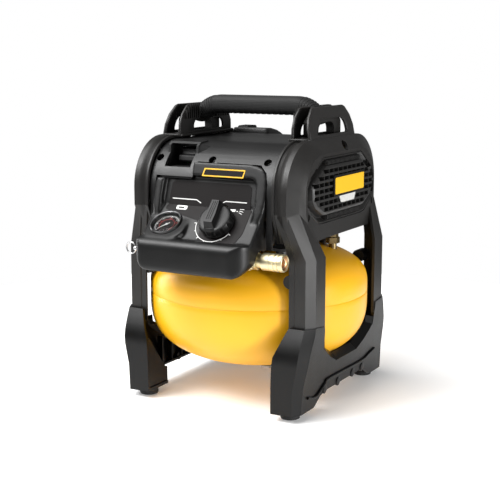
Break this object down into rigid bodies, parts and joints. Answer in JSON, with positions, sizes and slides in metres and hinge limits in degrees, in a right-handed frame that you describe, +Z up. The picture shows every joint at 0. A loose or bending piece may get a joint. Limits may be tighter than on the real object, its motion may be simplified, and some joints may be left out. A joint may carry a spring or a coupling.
{
  "type": "pancake air compressor",
  "caption": "Portable battery-powered air compressor: flat round tank between two moulded side frames, with a carry handle, gauge, regulator knob and brass hose coupler.",
  "frame": {"origin": "middle of the footprint, on the floor", "axes": "+Z up, -Y towards the control console at the front, +X towards the hose coupler"},
  "size_m": [0.306, 0.3404, 0.411],
  "materials": {
    "frame_plastic": "fine-grained black moulded plastic",
    "rail_plastic": "fine-grained black moulded plastic",
    "shroud_plastic": "satin black moulded plastic",
    "grille_plastic": "satin black moulded plastic",
    "console_plastic": "satin black moulded plastic",
    "grip_rubber": "stippled soft grip",
    "foot_rubber": "plain rubber",
    "tank_paint": "glossy powder coat, yellow",
    "badge_yellow": "plain yellow plate with a dark rim",
    "label_film": "printed film",
    "gauge_metal": "grey plated rim",
    "dial_face": "printed dial",
    "needle_white": "painted pointer",
    "lens_clear": "clear lens",
    "knob_plastic": "satin black",
    "switch_plastic": "grey rocker",
    "brass": "pale machined brass",
    "steel": "machined or wire steel",
    "sheet_steel": "black-coated steel plate",
    "cast_aluminium": "as-cast aluminium",
    "gear_nylon": "moulded nylon",
    "stator_iron": "lacquered laminations",
    "fan_plastic": "moulded fan",
    "battery_plastic": "satin black battery case",
    "latch_plastic": "black button",
    "dock_plastic": "moulded battery well",
    "switch_box": "moulded switch box",
    "board_green": "circuit board",
    "tube_aluminium": "drawn tube"
  },
  "bodies": {
    "chassis": {"side_frame_right": "frame_plastic", "side_frame_left": "frame_plastic", "foot_rail_right": "rail_plastic", "foot_rail_left": "rail_plastic", "foot_pad_front_right": "foot_rubber", "foot_pad_front_left": "foot_rubber", "foot_pad_rear_right": "foot_rubber", "foot_pad_rear_left": "foot_rubber", "tank_mount_front_right": "foot_rubber", "tank_mount_front_left": "foot_rubber", "tank_mount_rear_right": "foot_rubber", "tank_mount_rear_left": "foot_rubber", "handle_core": "frame_plastic", "handle_grip": "grip_rubber", "shroud_front": "shroud_plastic", "shroud_rear": "shroud_plastic", "side_grille_right": "grille_plastic", "side_grille_left": "grille_plastic", "badge_right": "badge_yellow", "badge_left": "badge_yellow", "tank_lower": "tank_paint", "tank_upper": "tank_paint", "console_shell": "console_plastic", "label_panel": "label_film", "gauge_case": "gauge_metal", "gauge_dial": "dial_face", "gauge_lens": "lens_clear", "regulator_bonnet": "brass", "manifold": "cast_aluminium", "safety_valve": "brass", "coupler_body": "brass", "supply_tube": "tube_aluminium", "drain_valve": "brass", "check_valve": "brass", "discharge_tube": "tube_aluminium", "pump_plate": "sheet_steel", "crankcase": "cast_aluminium", "cylinder_barrel": "cast_aluminium", "cylinder_head": "cast_aluminium", "motor_bracket": "sheet_steel", "motor_stator": "stator_iron", "battery_dock": "dock_plastic", "pressure_switch": "switch_box", "control_board": "board_green"},
    "regulator_knob": {"regulator_knob": "knob_plastic"},
    "gauge_needle": {"gauge_needle": "needle_white"},
    "rocker": {"rocker_switch": "switch_plastic"},
    "relief_pull": {"safety_valve_stem": "steel", "safety_valve_ring": "steel"},
    "coupler_sleeve": {"coupler_sleeve": "brass"},
    "drain_lever": {"drain_lever": "steel"},
    "battery": {"battery_pack": "battery_plastic"},
    "battery_latch": {"battery_latch": "latch_plastic"},
    "motor_rotor": {"motor_rotor": "steel", "cooling_fan": "fan_plastic"},
    "crank_gear": {"drive_gear": "gear_nylon"},
    "connecting_rod": {"connecting_rod": "cast_aluminium"},
    "piston": {"piston": "cast_aluminium"}
  },
  "joints": [
    {"name": "regulator_turn", "type": "hinge", "parent": "chassis", "child": "regulator_knob", "pos_m": [0.0224, -0.13075, 0.253], "axis": [0, -0.7314, 0.682], "range_deg": [-110, 160]},
    {"name": "pressure_needle", "type": "hinge", "parent": "chassis", "child": "gauge_needle", "pos_m": [-0.053, -0.13775, 0.2505], "axis": [0, -0.5446, 0.8387], "range_deg": [-270, 0], "stiffness_Nm_per_rad": 0.002},
    {"name": "power_rocker", "type": "hinge", "parent": "chassis", "child": "rocker", "pos_m": [-0.0555, -0.06875, 0.333], "axis": [1, 0, 0], "range_deg": [0, 14]},
    {"name": "relief_pull", "type": "slide", "parent": "chassis", "child": "relief_pull", "axis": [-1, 0, 0], "range_m": [0, 0.005], "stiffness_N_per_m": 500},
    {"name": "coupler_retract", "type": "slide", "parent": "chassis", "child": "coupler_sleeve", "axis": [-1, 0, 0], "range_m": [0, 0.006], "stiffness_N_per_m": 800},
    {"name": "drain_turn", "type": "hinge", "parent": "chassis", "child": "drain_lever", "pos_m": [0, 0.04225, 0.019], "axis": [0, 0, 1], "range_deg": [0, 90]},
    {"name": "battery_lift", "type": "slide", "parent": "chassis", "child": "battery", "axis": [0, 0, 1], "range_m": [0, 0.13]},
    {"name": "latch_press", "type": "slide", "parent": "battery", "child": "battery_latch", "axis": [0, 0, -1], "range_m": [0, 0.004], "stiffness_N_per_m": 600},
    {"name": "crank_spin", "type": "hinge", "parent": "chassis", "child": "crank_gear", "pos_m": [0, -0.01775, 0.266], "axis": [1, 0, 0], "continuous": true},
    {"name": "motor_spin", "type": "hinge", "parent": "chassis", "child": "motor_rotor", "pos_m": [0, 0.03825, 0.288], "axis": [1, 0, 0], "continuous": true},
    {"name": "rod_swing", "type": "hinge", "parent": "crank_gear", "child": "connecting_rod", "pos_m": [-0.01, -0.01775, 0.259], "axis": [1, 0, 0], "continuous": true},
    {"name": "piston_stroke", "type": "slide", "parent": "chassis", "child": "piston", "axis": [0, 0, 1], "range_m": [0, 0.013]}
  ],
  "couplings": [
    {"joint": "motor_spin", "follows": "crank_spin", "ratio": -4},
    {"joint": "rod_swing", "follows": "crank_spin", "ratio": -1}
  ]
}
